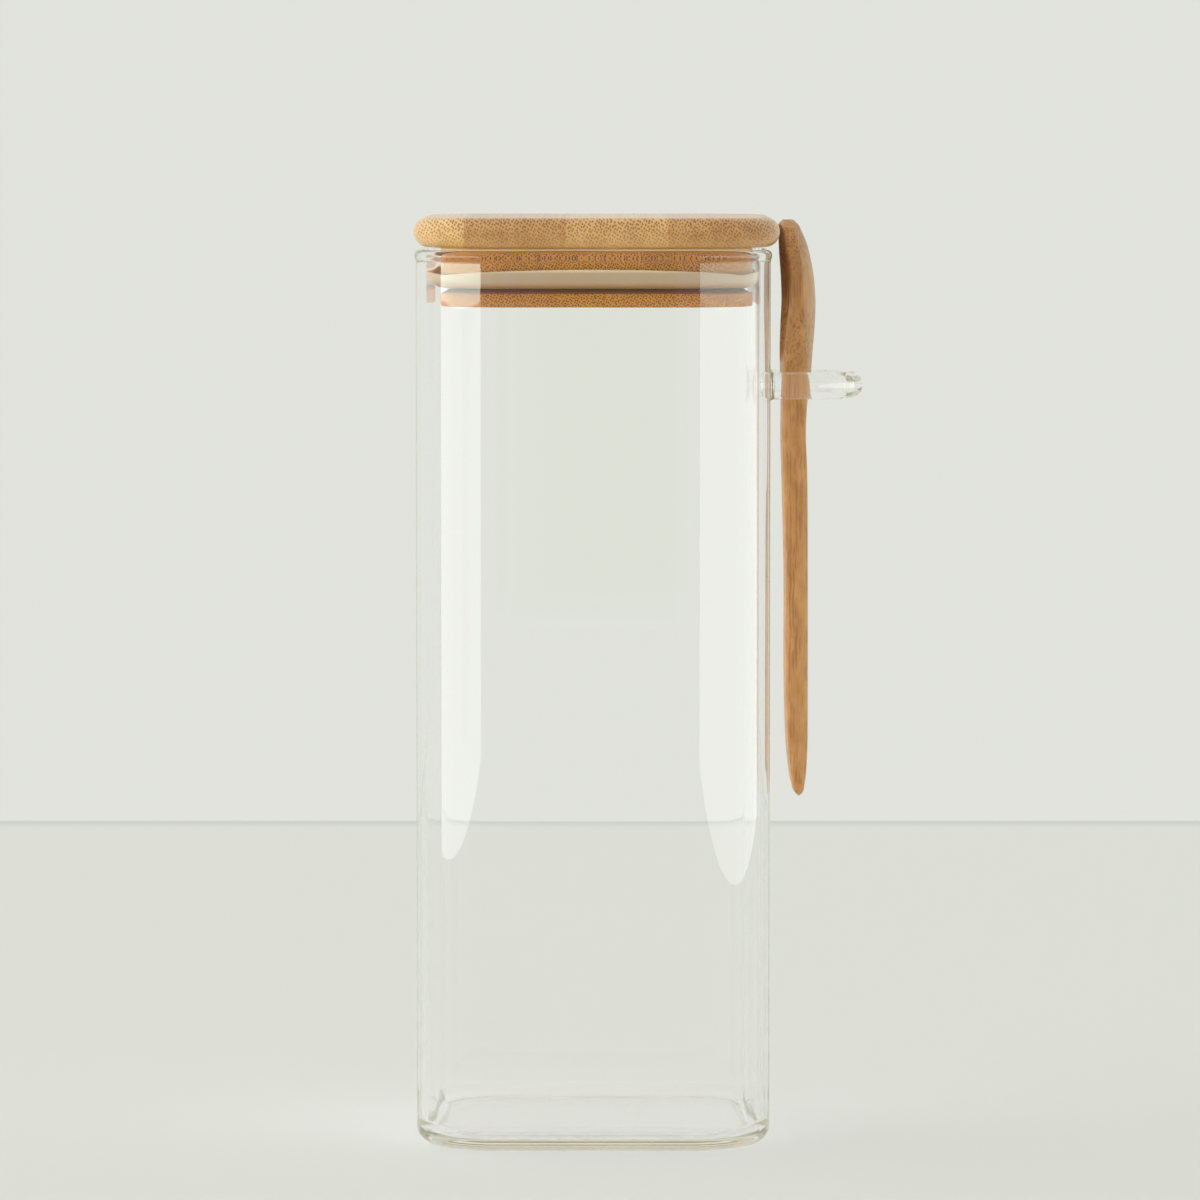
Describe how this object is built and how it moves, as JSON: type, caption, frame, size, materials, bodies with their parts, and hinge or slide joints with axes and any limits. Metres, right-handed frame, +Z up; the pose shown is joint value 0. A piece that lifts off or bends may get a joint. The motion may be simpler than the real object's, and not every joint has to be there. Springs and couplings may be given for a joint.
{
  "type": "storage jar",
  "caption": "Tall square glass storage jar with rounded corners, a bamboo plug lid with a silicone seal, and a bamboo spoon that hangs bowl up in a glass loop on its side.",
  "frame": {"origin": "centre of the glass vessel's flat underside, on the surface that the jar stands on", "axes": "+Z up through the mouth, +X towards the loop and the spoon, -Y the side seen from the front"},
  "size_m": [0.1276, 0.1032, 0.2621],
  "materials": {
    "glass": "clear borosilicate, fire-polished rim",
    "bamboo_lid": "sanded laminated bamboo, light oil",
    "bamboo_spoon": "carved bamboo, oiled",
    "silicone": "translucent cream silicone"
  },
  "bodies": {
    "jar": {"jar_body": "glass", "spoon_loop": "glass"},
    "lid": {"lid_cap": "bamboo_lid", "plug_upper": "bamboo_lid", "plug_lower": "bamboo_lid", "seal_ring": "silicone"},
    "spoon": {"spoon": "bamboo_spoon"}
  },
  "joints": [
    {"name": "lid_lift", "type": "slide", "parent": "jar", "child": "lid", "axis": [0, 0, 1], "range_m": [0, 0.12]},
    {"name": "spoon_lift", "type": "slide", "parent": "jar", "child": "spoon", "axis": [0, 0, 1], "range_m": [0, 0.13]}
  ]
}
